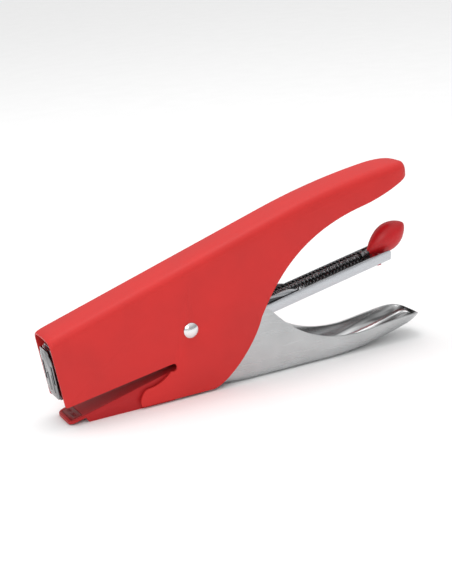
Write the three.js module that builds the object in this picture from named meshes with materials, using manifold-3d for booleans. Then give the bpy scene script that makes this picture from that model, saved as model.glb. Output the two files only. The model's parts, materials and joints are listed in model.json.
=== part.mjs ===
// A plier stapler: a pressed casing that is the upper handle, a fixed anvil arm under it, a chromed
// lower handle that levers on the main rivet, and a magazine that swings on the same rivet.
//
// Millimetres. X runs from the nose to the handles, Y is the width, Z is up. Everything is drawn from
// the main rivet (x = 0, z = rivetHeight) and moved at the end, so that the origin is under the middle
// of the stapler. Pieces on the magazine are drawn along its rail: x rearwards, z off the rail.

import * as THREE from 'three';
import { mergeVertices } from 'three/addons/utils/BufferGeometryUtils.js';
import { LoftGeometry } from 'three/addons/geometries/LoftGeometry.js';
import Module from 'manifold-3d';

const wasm = await Module();
wasm.setup();

// ---- driving dimensions -------------------------------------------------------------------------

// Widths are built outwards from the staple: magazine, lever, then casing.
const staple = { crown: 12.9, wire: 0.5 };
const crownSlack = 0.15;
const magazineSheet = 0.7;
const leverSlack = 0.4;
const leverSheet = 1.1;
const casingSlack = 0.35;
const casingSheet = 1.35;
const fit = 0.3; // clearance between pieces that touch or slide

const rivetHeight = 30.4; // main rivet above the table
const rivetShank = 2;
const rivetHead = { radius: 3.5, dome: 1.3 };

const upperReach = 117.9; // rivet to the end of the upper handle
const lowerReach = 120.8; // rivet to the end of the lower handle
const throatReach = 59.9; // rivet to the casing's lower front corner
const noseLean = THREE.MathUtils.degToRad(6.9);

const railSlope = THREE.MathUtils.degToRad(10.9);
const railReach = throatReach - 0.5; // rivet to the front end of the magazine
const magazineReach = 105.2; // rivet to the rear end of the magazine
const wallHeight = 4.5; // magazine wall behind the casing
const bladeThickness = 0.6;

const topSlope = THREE.MathUtils.degToRad(16.8);
const topAtRivet = 29.2; // casing top above the rivet
const bendStart = 55; // where the top starts to level out
const casingRadius = 3.6;

const slot = { end: { x: -9.9, z: rivetHeight - 14.9 }, radius: 1.8 }; // paper slot in the casing
const armTip = { x: 1.4 - throatReach, z: 1.6 }; // top of the anvil arm at its tip
const armSheet = 1.2;

// ---- sizes that follow --------------------------------------------------------------------------

const magazineIn = staple.crown / 2 + crownSlack;
const magazineOut = magazineIn + magazineSheet;
const leverIn = magazineOut + leverSlack;
const leverOut = leverIn + leverSheet;
const casingIn = leverOut + casingSlack;
const casingOut = casingIn + casingSheet;
const boreRadius = rivetShank + fit;

// Heights on the magazine are built downwards from the rivet: pusher, feeder spring, rail, floor.
const rodRadius = 1.2;
const springOuter = 2.7;
const pusherTop = -rivetShank - fit;
const pusherWing = 0.5;
const rodHeight = pusherTop - 0.3 - springOuter;
const railSheet = 0.5;
const railOut = staple.crown / 2 - staple.wire - 0.25;
const railTop = pusherTop - pusherWing - fit;
const railBase = rodHeight - springOuter - 0.4 - railSheet;
const floorTop = railBase - fit;
const magazineDrop = magazineSheet - floorTop;
const guideSheet = 0.7;
const bladeBack = -railReach - fit;
const bladeFront = bladeBack - bladeThickness;
const guideBack = bladeFront - fit;
const guideFront = guideBack - guideSheet;
const past = 30; // how far a cutter runs past what it cuts

// ---- solids -------------------------------------------------------------------------------------

function solid(geometry) {
  const bare = new THREE.BufferGeometry().copy(geometry);
  bare.deleteAttribute('normal');
  bare.deleteAttribute('uv');
  const merged = mergeVertices(bare, 1e-4);
  const vertProperties = merged.getAttribute('position').array;
  const triVerts = new Uint32Array(merged.index.array);
  return new wasm.Manifold(new wasm.Mesh({ numProp: 3, vertProperties, triVerts }));
}

function geometryOf(shape) {
  const mesh = shape.getMesh();
  const geometry = new THREE.BufferGeometry();
  geometry.setAttribute('position', new THREE.BufferAttribute(mesh.vertProperties, 3));
  geometry.setIndex(new THREE.BufferAttribute(mesh.triVerts, 1));
  const flat = geometry.toNonIndexed();
  flat.computeVertexNormals();
  return flat;
}

function piece(name, shape, finish) {
  const mesh = new THREE.Mesh(shape.isBufferGeometry ? shape : geometryOf(shape), finish);
  mesh.name = name;
  return mesh;
}

// An outline in side view or plan: corners [x, z, radius], joined by straight edges.
function outline(corners) {
  const shape = new THREE.Shape();
  const at = (i) => new THREE.Vector2(...corners[(i + corners.length) % corners.length]);
  corners.forEach(([, , radius = 0], i) => {
    const corner = at(i);
    const back = at(i - 1).sub(corner).normalize();
    const on = at(i + 1).sub(corner).normalize();
    const half = Math.acos(THREE.MathUtils.clamp(back.dot(on), -1, 1)) / 2;
    const reach = radius / Math.tan(half);
    const start = corner.clone().addScaledVector(back, reach);
    if (i === 0) shape.moveTo(start.x, start.y);
    else shape.lineTo(start.x, start.y);
    if (!radius) return;
    const centre = corner.clone().addScaledVector(back.clone().add(on).normalize(), radius / Math.sin(half));
    const end = corner.clone().addScaledVector(on, reach);
    const turn = -Math.sign(back.cross(on));
    const from = Math.atan2(start.y - centre.y, start.x - centre.x);
    const to = Math.atan2(end.y - centre.y, end.x - centre.x);
    shape.absarc(centre.x, centre.y, radius, from, to, turn < 0);
  });
  shape.closePath();
  return shape;
}

// A side-view shape given its width in Y, centred on y.
function sidePlate(shape, halfWidth, y = 0, curveSegments = 8) {
  const options = { depth: 2 * halfWidth, bevelEnabled: false, curveSegments };
  const geometry = new THREE.ExtrudeGeometry(shape, options);
  return solid(geometry.rotateX(Math.PI / 2).translate(0, y + halfWidth, 0));
}

// A plan shape given its height from low to high.
function flatPlate(shape, low, high, curveSegments = 6) {
  const options = { depth: high - low, bevelEnabled: false, curveSegments };
  return solid(new THREE.ExtrudeGeometry(shape, options).translate(0, 0, low));
}

function block(x0, x1, y0, y1, z0, z1) {
  const geometry = new THREE.BoxGeometry(x1 - x0, y1 - y0, z1 - z0);
  return solid(geometry.translate((x0 + x1) / 2, (y0 + y1) / 2, (z0 + z1) / 2));
}

// A round bar along Y.
function crossBar(radius, halfLength, x, z, sides = 24) {
  const geometry = new THREE.CylinderGeometry(radius, radius, 2 * halfLength, sides);
  return solid(geometry.translate(x, 0, z));
}

// A turned piece on the Z axis: profile points are [radius, z], first and last on the axis.
function turned(profile, segments = 20) {
  const points = profile.map(([r, z]) => new THREE.Vector2(r, z));
  return solid(new THREE.LatheGeometry(points, segments).rotateX(Math.PI / 2));
}

// A ring on the Z axis.
function ring(inner, outer, low, high, segments = 20) {
  const points = [[inner, low], [outer, low], [outer, high], [inner, high], [inner, low]];
  return turned(points, segments);
}

class Helix extends THREE.Curve {
  constructor(radius, length, turns) {
    super();
    Object.assign(this, { radius, length, turns });
  }

  getPoint(t, target = new THREE.Vector3()) {
    const angle = 2 * Math.PI * this.turns * t;
    return target.set(this.radius * Math.cos(angle), this.radius * Math.sin(angle), this.length * t);
  }
}

// A coil of round wire on the Z axis, standing on z = 0.
function coil(outerRadius, wireRadius, length, turns, stepsPerTurn, wireSides) {
  const wire = new THREE.Shape();
  wire.absarc(0, 0, wireRadius, 0, 2 * Math.PI);
  const path = new Helix(outerRadius - wireRadius, length - 2 * wireRadius, turns);
  const steps = Math.round(turns * stepsPerTurn);
  const options = { steps, extrudePath: path, bevelEnabled: false, curveSegments: wireSides };
  return new THREE.ExtrudeGeometry(wire, options).translate(0, 0, wireRadius);
}

// One cross-section of a pressed channel: two walls joined by a face, with rounded corners between.
// The face is at faceZ and the walls run to openZ, so openZ below faceZ gives a cap and above a trough.
function channelSection(x, halfWidth, faceZ, radius, openZ, crown = 0) {
  const cornerSteps = 5;
  const up = Math.sign(faceZ - openZ);
  const r = Math.min(radius, 0.9 * halfWidth);
  const points = [[halfWidth, openZ]];
  for (let i = 0; i <= cornerSteps; i++) {
    const angle = (i / cornerSteps) * (Math.PI / 2);
    const lift = crown * Math.sin(angle) ** 2 * (r / halfWidth);
    points.push([halfWidth - r + r * Math.cos(angle), faceZ - up * (r - r * Math.sin(angle) + crown - lift)]);
  }
  points.push([0, faceZ]);
  const mirrored = points.slice(0, -1).reverse().map(([y, z]) => [-y, z]);
  return points.concat(mirrored).map(([y, z]) => new THREE.Vector3(x, up * y, z));
}

function loft(sections) {
  return solid(new LoftGeometry(sections, { capStart: true, capEnd: true }));
}

// 1 along a handle, falling to 0 at its end as a quarter of an ellipse.
function roundOff(x, start, end) {
  const u = THREE.MathUtils.clamp((x - start) / (end - start), 0, 1);
  return Math.sqrt(1 - u * u);
}

// Stations along a handle: even along its length, closing up through its rounded end.
function stations(first, last, endStart, evenCount, endCount) {
  const even = Array.from({ length: evenCount }, (_, i) => first + ((endStart - first) * i) / evenCount);
  const closing = Array.from({ length: endCount + 1 }, (_, i) => {
    return endStart + (last - endStart) * Math.sin((i / endCount) * (Math.PI / 2));
  });
  return even.concat(closing);
}

// ---- finishes -----------------------------------------------------------------------------------

const steel = (color, roughness) => new THREE.MeshStandardMaterial({ color, roughness, metalness: 1 });
const softRed = new THREE.MeshStandardMaterial({ color: 0xc93534, roughness: 0.55, metalness: 0 });
const glossRed = new THREE.MeshStandardMaterial({ color: 0xd02328, roughness: 0.2, metalness: 0 });
const chrome = steel(0xd6d8da, 0.15);
const plated = steel(0xc6c9cc, 0.3);
const satin = steel(0xaeb0b2, 0.35);
const springSteel = steel(0x55575a, 0.4);

// ---- casing -------------------------------------------------------------------------------------

const noseTop = topAtRivet + rivetHeight;
const casingFront = -(throatReach + 4.7);
const handleRoundOff = 16; // length of the upper handle's rounded end
const levelLength = upperReach - bendStart;

// Height of the casing's top over the table.
function casingTop(x) {
  const straight = noseTop + Math.min(x, bendStart) * Math.tan(topSlope);
  const beyond = THREE.MathUtils.clamp(x - bendStart, 0, levelLength);
  const level = beyond * Math.tan(topSlope) * (1 - beyond / (2 * levelLength));
  const lip = { length: 4.8, drop: 1.4 };
  const roll = THREE.MathUtils.clamp((casingFront + lip.length - x) / lip.length, 0, 1);
  return straight + level - lip.drop * (1 - Math.sqrt(1 - roll * roll));
}

const handleEnd = { x: upperReach, z: casingTop(upperReach) - 5 };
const skirt = 1.1; // the casing's lower edge over the table
const grip = {
  foot: new THREE.Vector2(9, skirt),
  bend: new THREE.Vector2(34.4, rivetHeight - 1.5),
  end: new THREE.Vector2(upperReach - 27.5, handleEnd.z - 10.6),
};

// The upper handle's body, drawn as a cap that is inset all round.
function casingBody(inset, first) {
  const endStart = upperReach - handleRoundOff;
  const last = upperReach - inset;
  const tipHalf = 0.4;
  const sections = stations(first, last, endStart, 22, 8).map((x) => {
    const fade = roundOff(x, endStart, last);
    const halfWidth = Math.max((casingOut - inset) * Math.sqrt(fade), tipHalf);
    const faceZ = handleEnd.z + (casingTop(x) - inset - handleEnd.z) * fade ** 0.7;
    const radius = casingRadius - inset;
    return channelSection(x, halfWidth, faceZ, radius, -past, 0.7 * fade);
  });
  return loft(sections);
}

// The casing seen from the side: nose, paper slot, skirt, and the curve under the handle.
function casingOutline() {
  const shape = new THREE.Shape();
  const noseZ = offRail(-railReach, -magazineDrop).y - 0.15;
  const noseRadius = 2;
  const edge = slot.end.z + slot.radius - noseZ;
  const rise = Math.atan2(edge, throatReach + slot.end.x);
  const high = 200;
  const lean = Math.tan(noseLean);
  shape.moveTo(-throatReach - lean * (high - noseZ), high);
  shape.lineTo(-throatReach - lean * noseRadius, noseZ + noseRadius);
  shape.quadraticCurveTo(-throatReach, noseZ, -throatReach + noseRadius, noseZ + 0.3);
  shape.lineTo(slot.end.x - slot.radius * Math.sin(rise), slot.end.z + slot.radius * Math.cos(rise));
  shape.absarc(slot.end.x, slot.end.z, slot.radius, Math.PI / 2 + rise, -0.7 * Math.PI, true);
  const toe = slot.end.x - 12.5;
  const toeTop = slot.end.z - 6.8;
  shape.bezierCurveTo(toe + 7.4, toeTop + 1.3, toe + 3.4, toeTop + 0.2, toe, toeTop);
  shape.bezierCurveTo(toe - 2.2, toeTop - 0.2, toe - 4.2, skirt + 3.5, toe - 3.9, skirt + 1.6);
  shape.quadraticCurveTo(toe - 3.7, skirt, toe - 2, skirt);
  shape.lineTo(grip.foot.x, grip.foot.y);
  shape.bezierCurveTo(17.5, 3.2, 29.4, grip.bend.y - 11.3, grip.bend.x, grip.bend.y);
  shape.bezierCurveTo(44, grip.bend.y + 19, grip.end.x - 32.4, grip.end.y - 5.5, grip.end.x, grip.end.y);
  shape.lineTo(handleEnd.x - 4, handleEnd.z - 4.4);
  shape.quadraticCurveTo(handleEnd.x, handleEnd.z - 3.6, handleEnd.x, handleEnd.z - 0.6);
  shape.lineTo(handleEnd.x + past, handleEnd.z - 0.6);
  shape.lineTo(handleEnd.x + past, high);
  shape.closePath();
  return shape;
}

function casing() {
  const shell = casingBody(0, casingFront).intersect(sidePlate(casingOutline(), past, 0, 14));
  const hollow = casingBody(casingSheet, casingFront - 5);
  return shell.subtract(hollow).subtract(crossBar(boreRadius, past, 0, rivetHeight));
}

// ---- anvil arm ----------------------------------------------------------------------------------

const armRear = slot.end.x + 3.9;
const armRise = (slot.end.z - slot.radius - armTip.z) / (slot.end.x - armTip.x);
const armTop = (x) => armTip.z + (x - armTip.x) * armRise;
const clinch = { x: armTip.x + 3.9, length: 4.6, width: staple.crown - 0.3 };

// A cap-shaped arm whose walls stop short of the tip, so that the tip is a flat tongue.
function anvilArm() {
  const wallFront = armTip.x + 8.6;
  const tongue = armSheet - 0.1;
  const side = [
    [armTip.x, armTip.z],
    [armRear, armTop(armRear)],
    [armRear, 6, 3],
    [armRear - 4, 0, 1],
    [wallFront, 0, 0.8],
    [wallFront - 1.2, armTop(wallFront - 1.2) - tongue],
    [armTip.x, armTip.z - tongue],
  ];
  const bodySide = sidePlate(outline(side), leverOut);
  const plan = [
    [armTip.x, -leverOut + 0.6, 3],
    [armRear + 1, -leverOut],
    [armRear + 1, leverOut],
    [armTip.x, leverOut - 0.6, 3],
  ];
  const under = [
    [armTip.x - 5, armTip.z - armSheet - 5 * armRise],
    [armRear + 5, armTop(armRear + 5) - armSheet],
    [armRear + 5, -past],
    [armTip.x - 5, -past],
  ];
  const hollow = sidePlate(outline(under), leverOut - armSheet);
  const window = block(
    clinch.x - clinch.length / 2 - fit, clinch.x + clinch.length / 2 + fit,
    -clinch.width / 2 - fit, clinch.width / 2 + fit, -past, past,
  );
  return bodySide.intersect(flatPlate(outline(plan), -past, past)).subtract(hollow).subtract(window);
}

// The hardened plate that folds the staple's legs, with a curved groove under each leg.
function clinchPlate() {
  const half = clinch.length / 2;
  const side = [
    [clinch.x - half, armTop(clinch.x - half) - armSheet],
    [clinch.x + half, armTop(clinch.x + half) - armSheet],
    [clinch.x + half, armTop(clinch.x + half)],
    [clinch.x - half, armTop(clinch.x - half)],
  ];
  const grooveRadius = 4;
  const grooveDepth = 0.5;
  const grooves = [-1, 1].map((hand) => {
    const y = (hand * staple.crown) / 4;
    const bar = new THREE.CylinderGeometry(grooveRadius, grooveRadius, 1.4, 40).rotateZ(Math.PI / 2);
    return solid(bar.translate(clinch.x, y, armTop(clinch.x) - grooveDepth + grooveRadius));
  });
  const plate = sidePlate(outline(side), clinch.width / 2);
  return grooves.reduce((rest, groove) => rest.subtract(groove), plate);
}

// A bowed leaf on the rear of the anvil arm that lifts the magazine's floor.
function liftSpring() {
  const leaf = 0.5;
  const root = armTop(armRear) + fit;
  const shape = new THREE.Shape();
  shape.moveTo(armRear - 3, root - 3 * armRise);
  shape.lineTo(armRear + 3.5, root + 3.5 * armRise);
  shape.lineTo(armRear + 3.5, root + 3.5 * armRise + leaf);
  shape.bezierCurveTo(armRear - 2, root + leaf, armRear - 3, root + 2, armRear - 6, root + 2);
  shape.lineTo(armRear - 6, root + 2 - leaf);
  shape.quadraticCurveTo(armRear - 4.4, root + 2 - leaf, armRear - 3, root - 3 * armRise);
  shape.closePath();
  return sidePlate(shape, magazineIn - 2, 0, 6);
}

// ---- main rivet ---------------------------------------------------------------------------------

function mainRivet() {
  const seat = casingOut + 0.2;
  const { radius, dome } = rivetHead;
  const ball = (radius * radius + dome * dome) / (2 * dome);
  const steps = 6;
  const head = Array.from({ length: steps + 1 }, (_, i) => {
    const r = radius * Math.cos((i / steps) * (Math.PI / 2));
    return [r, seat + dome - ball + Math.sqrt(ball * ball - r * r)];
  });
  head[steps][0] = 0;
  const half = [[rivetShank, seat], [radius, seat], ...head];
  const mirrored = half.map(([r, z]) => [r, -z]).reverse();
  return turned(mirrored.concat(half), 32).rotate([90, 0, 0]).translate([0, 0, rivetHeight]);
}

// ---- lower handle -------------------------------------------------------------------------------

const pin = { x: 9.4 - railReach, z: 11.35, radius: 1.5 }; // driver pin, along the rail and off it
const flare = { start: lowerReach - 78.8, end: lowerReach - 28.8, extra: 0.6 }; // spoon over arms
const leverRoundOff = 12;
const belly = { front: 30, rear: 70 }; // the flat stretch that the stapler stands on

// A point given along the rail and off it, in the stapler's own frame.
function offRail(x, z) {
  const c = Math.cos(railSlope);
  const s = Math.sin(railSlope);
  return new THREE.Vector2(x * c - z * s, rivetHeight + x * s + z * c);
}

function leverBody(inset) {
  const first = -2;
  const endStart = lowerReach - leverRoundOff;
  const last = lowerReach - inset;
  const tipZ = 7.6;
  const bottom = (x) => {
    const ahead = Math.max(belly.front - x, 0) / (belly.front - first);
    const behind = Math.max(x - belly.rear, 0) / (lowerReach - belly.rear);
    return 4.4 * ahead ** 2 + 9.3 * behind ** 2;
  };
  const forward = stations(first, belly.rear, belly.front, 4, 1);
  const spoon = stations(belly.rear + 5, last, endStart, 5, 9);
  return loft(forward.concat(spoon).map((x) => {
    const fade = roundOff(x, endStart, last);
    const spread = THREE.MathUtils.smoothstep(x, flare.start, flare.end);
    const halfWidth = Math.max((leverOut + spread * flare.extra - inset) * fade ** 0.6, 0.4);
    const floor = bottom(x) + inset;
    const faceZ = floor + (1 - fade) * (tipZ + 0.5 * inset - floor);
    return channelSection(x, halfWidth, faceZ, 3.4 - inset, past * 2);
  }));
}

// The lever seen from the side: forward arm, ear round the rivet, and the rim down to the spoon.
function leverOutline() {
  const shape = new THREE.Shape();
  const tip = offRail(pin.x, pin.z);
  const armEnd = 4.2;
  const rim = 9.6; // the spoon's rim over the table at its lowest
  shape.moveTo(4.5, -past);
  shape.lineTo(lowerReach + past, -past);
  shape.lineTo(lowerReach + past, rim + 1.6);
  shape.lineTo(lowerReach, rim + 1.6);
  shape.bezierCurveTo(lowerReach - 10, rim + 2.6, lowerReach - 22, rim, lowerReach - 36.8, rim);
  shape.bezierCurveTo(lowerReach - 54.8, rim, 54, rim + 5, 42, rivetHeight - 2.4);
  shape.bezierCurveTo(36, rivetHeight + 4.2, 30, rivetHeight + 9.2, 18, rivetHeight + 9.2);
  shape.lineTo(0, rivetHeight + 8.6);
  shape.lineTo(tip.x, tip.y + armEnd);
  shape.absarc(tip.x, tip.y, armEnd, Math.PI / 2, 1.5 * Math.PI, false);
  shape.lineTo(-13, rivetHeight - 5.6);
  shape.bezierCurveTo(-7, rivetHeight - 6, -3.5, rivetHeight - 9, -3, rivetHeight - 15);
  shape.closePath();
  return shape;
}

function lowerHandle() {
  const tip = offRail(pin.x, pin.z);
  const arms = block(tip.x - 10, 4, -leverOut, leverOut, 10, 60);
  const gap = block(tip.x - 12, 4.1, -leverIn, leverIn, 0, 62);
  return leverBody(0)
    .add(arms)
    .subtract(leverBody(leverSheet))
    .subtract(gap)
    .intersect(sidePlate(leverOutline(), past, 0, 14))
    .subtract(crossBar(boreRadius, past, 0, rivetHeight))
    .subtract(crossBar(pin.radius + fit, past, tip.x, tip.y));
}

// ---- pieces between the lever's arms, drawn along the rail ---------------------------------------

const bridge = { x: -24, low: 7.2, sheet: 1, length: 15 };

function leverBridge() {
  const half = bridge.length / 2;
  const wide = leverIn - fit;
  const plate = block(bridge.x - half, bridge.x + half, -wide, wide, bridge.low, bridge.low + 4.2);
  const inside = block(
    bridge.x - half - 1, bridge.x + half + 1, -wide + bridge.sheet, wide - bridge.sheet,
    bridge.low + bridge.sheet, past,
  );
  const side = [
    [bridge.x - half, bridge.low],
    [bridge.x + half, bridge.low],
    [bridge.x + half, bridge.low + 4.2, 2.5],
    [bridge.x - half, bridge.low + 4.2, 2.5],
  ];
  return plate.intersect(sidePlate(outline(side), past)).subtract(inside);
}

const returnCoil = { radius: 3.6, wire: 0.5, turns: 4.5 };
const coverTop = pusherTop + fit + 0.1 + magazineSheet;

function springSeat() {
  const r = returnCoil.radius - 2 * returnCoil.wire - 0.4;
  const high = bridge.low - fit;
  return turned([[0, high - 2.4], [r - 0.6, high - 2.4], [r, high - 1.8], [r, high], [0, high]], 16)
    .translate([bridge.x, 0, 0]);
}

function returnSpring() {
  const low = coverTop + fit;
  const high = bridge.low - fit;
  const { radius, wire, turns } = returnCoil;
  return coil(radius, wire, high - low, turns, 14, 3).translate(bridge.x, 0, low);
}

// ---- magazine, drawn along the rail --------------------------------------------------------------

const knobSlot = { front: magazineReach - 7, half: 1.6 };
const railRivets = { front: 16, rear: 44, radius: 1.2 };

function magazineChannel() {
  const wallTop = -magazineDrop + wallHeight;
  const earRadius = 5.4;
  const frontWall = coverTop + 0.4;
  const shape = new THREE.Shape();
  shape.moveTo(-railReach, -magazineDrop);
  shape.lineTo(magazineReach - 1, -magazineDrop);
  shape.lineTo(magazineReach, wallTop - 1.6);
  shape.quadraticCurveTo(magazineReach, wallTop, magazineReach - 2, wallTop);
  shape.lineTo(32, wallTop);
  shape.bezierCurveTo(22, wallTop, 14, earRadius, 4, earRadius);
  shape.lineTo(-3, earRadius);
  shape.quadraticCurveTo(-7, earRadius, -9, frontWall);
  shape.lineTo(-railReach, frontWall);
  shape.closePath();
  const inside = block(-railReach - past, magazineReach + past, -magazineIn, magazineIn, floorTop, past);
  const slotLength = magazineReach + past;
  const knobWay = block(knobSlot.front, slotLength, -knobSlot.half, knobSlot.half, -past, 0);
  const channel = sidePlate(shape, magazineOut)
    .subtract(inside)
    .subtract(knobWay)
    .subtract(crossBar(boreRadius, past, 0, 0));
  return drillForRivets(channel);
}

function drillForRivets(shape) {
  const radius = railRivets.radius + fit;
  const hole = turned([[0, -past], [radius, -past], [radius, 0], [0, 0]], 12);
  const places = [railRivets.front, railRivets.rear];
  return places.reduce((rest, x) => rest.subtract(hole.translate([x, 0, 0])), shape);
}

// The rail that the staples straddle: a trough whose webs sweep down behind the staples.
function stapleRail() {
  const rear = 62;
  const shape = new THREE.Shape();
  shape.moveTo(-railReach, railBase);
  shape.lineTo(rear, railBase);
  shape.lineTo(rear, railBase + 1.2);
  shape.bezierCurveTo(rear - 6, railBase + 1.2, rear - 6, railTop, rear - 14, railTop);
  shape.lineTo(-railReach, railTop);
  shape.closePath();
  const wide = railOut - railSheet;
  const inside = block(-railReach - past, rear + past, -wide, wide, railBase + railSheet, past);
  return drillForRivets(sidePlate(shape, railOut).subtract(inside));
}

function railRivet() {
  const { radius } = railRivets;
  const head = 2.1;
  const seat = -magazineDrop - 0.2;
  const profile = [
    [0, seat - 0.7], [head * 0.6, seat - 0.6], [head, seat - 0.2], [head, seat], [radius, seat],
    [radius, railBase + railSheet], [0, railBase + railSheet],
  ];
  return turned(profile, 14);
}

// The cover that keeps the staples down, with a lip along each side.
function magazineCover() {
  const wide = magazineIn - fit;
  const front = -railReach + 1;
  const rear = -boreRadius - 3.4;
  const low = coverTop - magazineSheet;
  const plate = block(front, rear, -wide, wide, low, coverTop + 1.6);
  const inside = block(
    front - 1, rear + 1, -wide + magazineSheet, wide - magazineSheet, coverTop, past,
  );
  const side = [[front, low], [rear, low], [rear, coverTop + 1.6, 1.5], [front, coverTop + 1.6, 1.5]];
  return plate.intersect(sidePlate(outline(side), past)).subtract(inside);
}

// A plate across the nose that the driver blade runs behind, on two wings of the magazine's width.
function frontGuide() {
  const low = -magazineDrop + 0.4;
  const high = 13;
  const lipRear = -railReach - fit;
  const wingRear = -railReach + 5;
  const wingLow = coverTop + 0.9;
  const side = [
    [guideFront + guideSheet / 2, low],
    [lipRear, low, 0.8],
    [lipRear, wingLow],
    [wingRear, wingLow, 1],
    [wingRear, high - 3, 3],
    [guideBack, high],
    [guideFront + guideSheet / 2, high],
  ];
  const inside = block(guideBack, past, -magazineIn, magazineIn, -past, past);
  const wings = sidePlate(outline(side), magazineOut).subtract(inside);
  const shoulder = 6.4;
  const neck = 5.2;
  const face = outline([
    [-leverOut, low, 2],
    [leverOut, low, 2],
    [leverOut, shoulder, 1.2],
    [neck, shoulder + 1.6, 1],
    [neck, high, 1.5],
    [-neck, high, 1.5],
    [-neck, shoulder + 1.6, 1],
    [-leverOut, shoulder, 1.2],
  ]);
  const front = new THREE.ExtrudeGeometry(face, { depth: guideSheet, bevelEnabled: false, curveSegments: 6 });
  front.rotateX(Math.PI / 2).rotateZ(Math.PI / 2).translate(guideFront, 0, 0);
  return solid(front).add(wings);
}

// ---- driver, drawn along the rail ----------------------------------------------------------------

const holder = { low: 6.4, high: 15.6, half: magazineIn - 1, sheet: 1, rear: pin.x + 3.6 };
const driverRivets = { y: holder.half / 2, z: 8.2, radius: 0.9 };

function driverBlade() {
  const half = magazineIn - fit;
  const tip = railTop + staple.wire - 0.3;
  const face = outline([
    [-half, tip, 0.3], [half, tip, 0.3], [half, 8, 1], [5.2, 9.5, 1], [5.2, 15.4, 1],
    [-5.2, 15.4, 1], [-5.2, 9.5, 1], [-half, 8, 1],
  ]);
  const options = { depth: bladeThickness, bevelEnabled: false, curveSegments: 4 };
  const plate = new THREE.ExtrudeGeometry(face, options);
  plate.rotateX(Math.PI / 2).rotateZ(Math.PI / 2).translate(bladeFront, 0, 0);
  return driverRivetHoles().reduce((rest, hole) => rest.subtract(hole), solid(plate));
}

function driverRivetHoles() {
  return [-1, 1].map((hand) => {
    const hole = new THREE.CylinderGeometry(driverRivets.radius + fit, driverRivets.radius + fit, 8, 14);
    return solid(hole.rotateZ(Math.PI / 2).translate(bladeBack, hand * driverRivets.y, driverRivets.z));
  });
}

// A folded bracket on the back of the blade; the lever's pin runs in its two slots.
function driverHolder() {
  const front = bladeBack + fit;
  const side = [
    [front, holder.low, 0.6],
    [holder.rear - 4, holder.low, 1.5],
    [holder.rear, pin.z - 3.4, 2],
    [holder.rear, holder.high, 2.5],
    [front, holder.high, 0.6],
  ];
  const slack = 0.5;
  const swing = 1.2;
  const wayRadius = pin.radius + slack;
  const way = new THREE.Shape();
  way.absarc(pin.x, pin.z, wayRadius, -Math.PI / 2, Math.PI / 2, false);
  way.absarc(pin.x - swing, pin.z, wayRadius, Math.PI / 2, 1.5 * Math.PI, false);
  const inside = block(
    front + holder.sheet, past, -holder.half + holder.sheet, holder.half - holder.sheet, -past, past,
  );
  const bracket = sidePlate(outline(side), holder.half).subtract(inside).subtract(sidePlate(way, past));
  return driverRivetHoles().reduce((rest, hole) => rest.subtract(hole), bracket);
}

function driverRivet() {
  const seat = bladeBack + fit + holder.sheet + 0.2;
  const { radius } = driverRivets;
  const head = 1.6;
  const profile = [
    [0, bladeFront + 0.1], [radius, bladeFront + 0.1], [radius, seat], [head, seat],
    [head, seat + 0.3], [head * 0.6, seat + 0.7], [0, seat + 0.8],
  ];
  return turned(profile, 14).rotate([0, 90, 0]);
}

// ---- feeder, drawn along the rail ----------------------------------------------------------------

const pusher = { front: 3.4 - railReach, length: 11 };
const rod = { front: pusher.front - 1, rear: knobSlot.front + 4.8 };
const spring = { wire: 0.42, rear: knobSlot.front - 5.8, turns: 32 };

function alongRail(shape, x) {
  return shape.rotate([0, 90, 0]).translate([x, 0, rodHeight]);
}

function feederRod() {
  const tip = 0.5;
  const profile = [
    [0, rod.front], [rodRadius - tip, rod.front], [rodRadius, rod.front + tip],
    [rodRadius, rod.rear], [0, rod.rear],
  ];
  return alongRail(turned(profile, 12), 0);
}

function feederSpring() {
  const front = pusher.front + pusher.length + fit;
  const { wire, rear, turns } = spring;
  return coil(springOuter, wire, rear - front, turns, 8, 2)
    .rotateY(Math.PI / 2)
    .translate(front, 0, rodHeight);
}

function rodCollar(x, length) {
  return alongRail(ring(rodRadius + 0.1, springOuter, 0, length, 16), x);
}

// The pull at the rear: a leaf-shaped knob with a foot that goes down through the magazine's floor.
function feederKnob() {
  const length = 24;
  const fullest = 6.6;
  const steps = 14;
  const profile = Array.from({ length: steps + 1 }, (_, i) => {
    const t = i / steps;
    const swell = Math.sin(Math.PI * t ** 1.18) ** 0.78;
    return [i === 0 || i === steps ? 0 : fullest * swell, length * (t - 0.5)];
  });
  const egg = turned(profile, 24)
    .scale([1, 0.82, 1])
    .rotate([0, 78, 0])
    .translate([knobSlot.front + 9.2, 0, -2]);
  const stemHalf = knobSlot.half - fit;
  const footTop = -magazineDrop - 1.2;
  const stem = block(knobSlot.front + fit, knobSlot.front + 3.2, -stemHalf, stemHalf, footTop - 1, -4);
  const foot = [
    [knobSlot.front - 0.6, footTop - 2.2, 0.5],
    [knobSlot.front + 3.2, footTop - 2.2, 0.5],
    [knobSlot.front + 3.2, footTop + 0.8, 0.3],
    [knobSlot.front - 0.6, footTop, 0.3],
  ];
  const socket = rodBore(rod.rear - past, rod.rear + fit);
  const floorGap = block(
    knobSlot.front - past, magazineReach + past, -past, past, -magazineDrop - fit, floorTop + fit,
  );
  return egg
    .add(stem)
    .add(sidePlate(outline(foot), 2.4))
    .subtract(socket)
    .subtract(floorGap.subtract(block(0, 2 * magazineReach, -stemHalf, stemHalf, -past, past)));
}

function rodBore(front, rear) {
  const radius = rodRadius + fit;
  return alongRail(turned([[0, front], [radius, front], [radius, rear], [0, rear]], 12), 0);
}

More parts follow.
